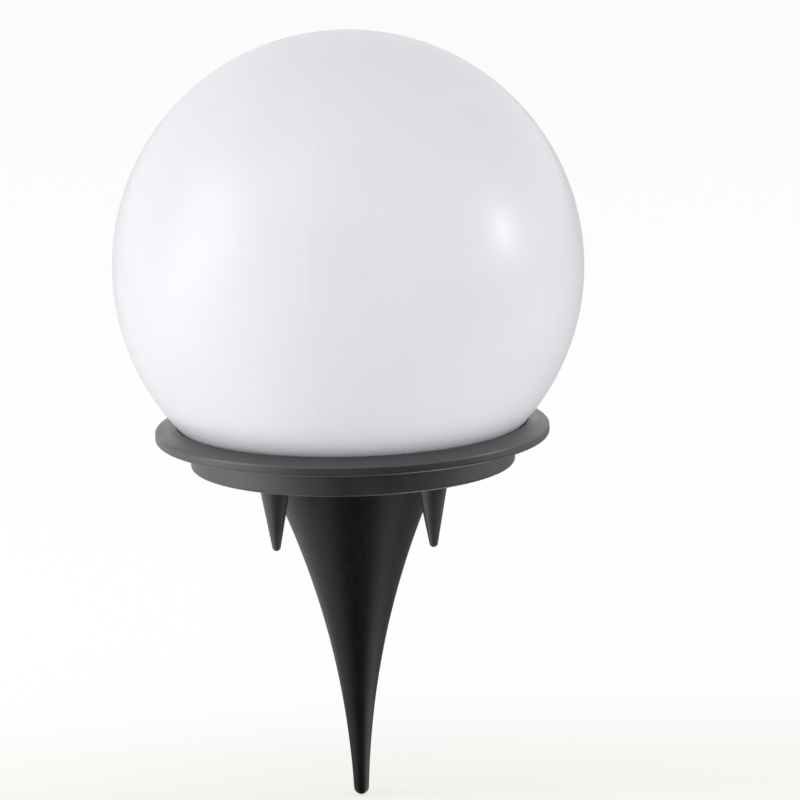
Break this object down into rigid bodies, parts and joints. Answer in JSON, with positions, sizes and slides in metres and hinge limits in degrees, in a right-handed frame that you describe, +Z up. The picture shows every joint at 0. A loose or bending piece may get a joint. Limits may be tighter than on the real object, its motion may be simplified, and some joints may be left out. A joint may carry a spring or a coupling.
{
  "type": "garden globe light",
  "caption": "Solar garden light: frosted globe that twists onto a black flanged base, on a slender ground spike with small locating spikes.",
  "frame": {"origin": "on the light's axis, at ground level, which is the underside of the base", "axes": "+Z up along the axis through the globe, -Z down the ground spike, -Y towards the picture's front, the switch at +Y"},
  "size_m": [0.0974, 0.0974, 0.1604],
  "materials": {
    "frosted_globe": "frosted, satin, lets light through",
    "black_plastic": "satin moulded",
    "black_rubber": "matt",
    "screw_steel": "zinc plated",
    "contact_steel": "nickel plated",
    "tinned_wire": "tinned",
    "panel_laminate": "glass-fibre board",
    "solar_cell": "blue-black cells",
    "clear_resin": "clear cast resin",
    "lamp_resin": "clear lamp resin",
    "bus_insulation": "insulated wire",
    "lead_insulation": "insulated leads",
    "battery_sleeve": "shrink sleeve",
    "tray_plastic": "natural moulding",
    "board_green": "solder mask",
    "chip_black": "moulded package",
    "ferrite": "ferrite with enamelled wire",
    "capacitor_sleeve": "sleeved can",
    "resistor_body": "coated",
    "switch_case": "pressed case",
    "switch_plastic": "moulded"
  },
  "bodies": {
    "spike": {"ground_spike": "black_plastic"},
    "base": {"base_dish": "black_plastic", "bottom_cover": "black_plastic", "base_gasket": "black_rubber", "core_housing": "black_plastic", "cover_screws": "screw_steel", "panel_board": "panel_laminate", "solar_cells": "solar_cell", "panel_resin": "clear_resin", "leds": "lamp_resin", "led_legs": "tinned_wire", "led_bus_wires": "bus_insulation", "battery_cell": "battery_sleeve", "battery_tray": "tray_plastic", "positive_contact": "contact_steel", "negative_spring": "contact_steel", "circuit_board": "board_green", "board_screws": "screw_steel", "driver_chip": "chip_black", "choke": "ferrite", "capacitor": "capacitor_sleeve", "resistor": "resistor_body", "switch_body": "switch_case", "switch_terminals": "tinned_wire", "panel_leads": "lead_insulation", "battery_leads": "lead_insulation", "switch_leads": "lead_insulation"},
    "seal_ring": {"globe_seal": "black_rubber"},
    "globe": {"globe": "frosted_globe"},
    "switch": {"switch_knob": "switch_plastic"}
  },
  "joints": [
    {"name": "base_pull", "type": "slide", "parent": "spike", "child": "base", "axis": [0, 0, 1], "range_m": [0, 0.012]},
    {"name": "globe_turn", "type": "hinge", "parent": "base", "child": "seal_ring", "pos_m": [0, 0, 0.0042], "axis": [0, 0, 1], "range_deg": [-30, 0]},
    {"name": "globe_lift", "type": "slide", "parent": "seal_ring", "child": "globe", "axis": [0, 0, 1], "range_m": [0, 0.04]},
    {"name": "switch_slide", "type": "slide", "parent": "base", "child": "switch", "axis": [1, 0, 0], "range_m": [0, 0.002]}
  ]
}
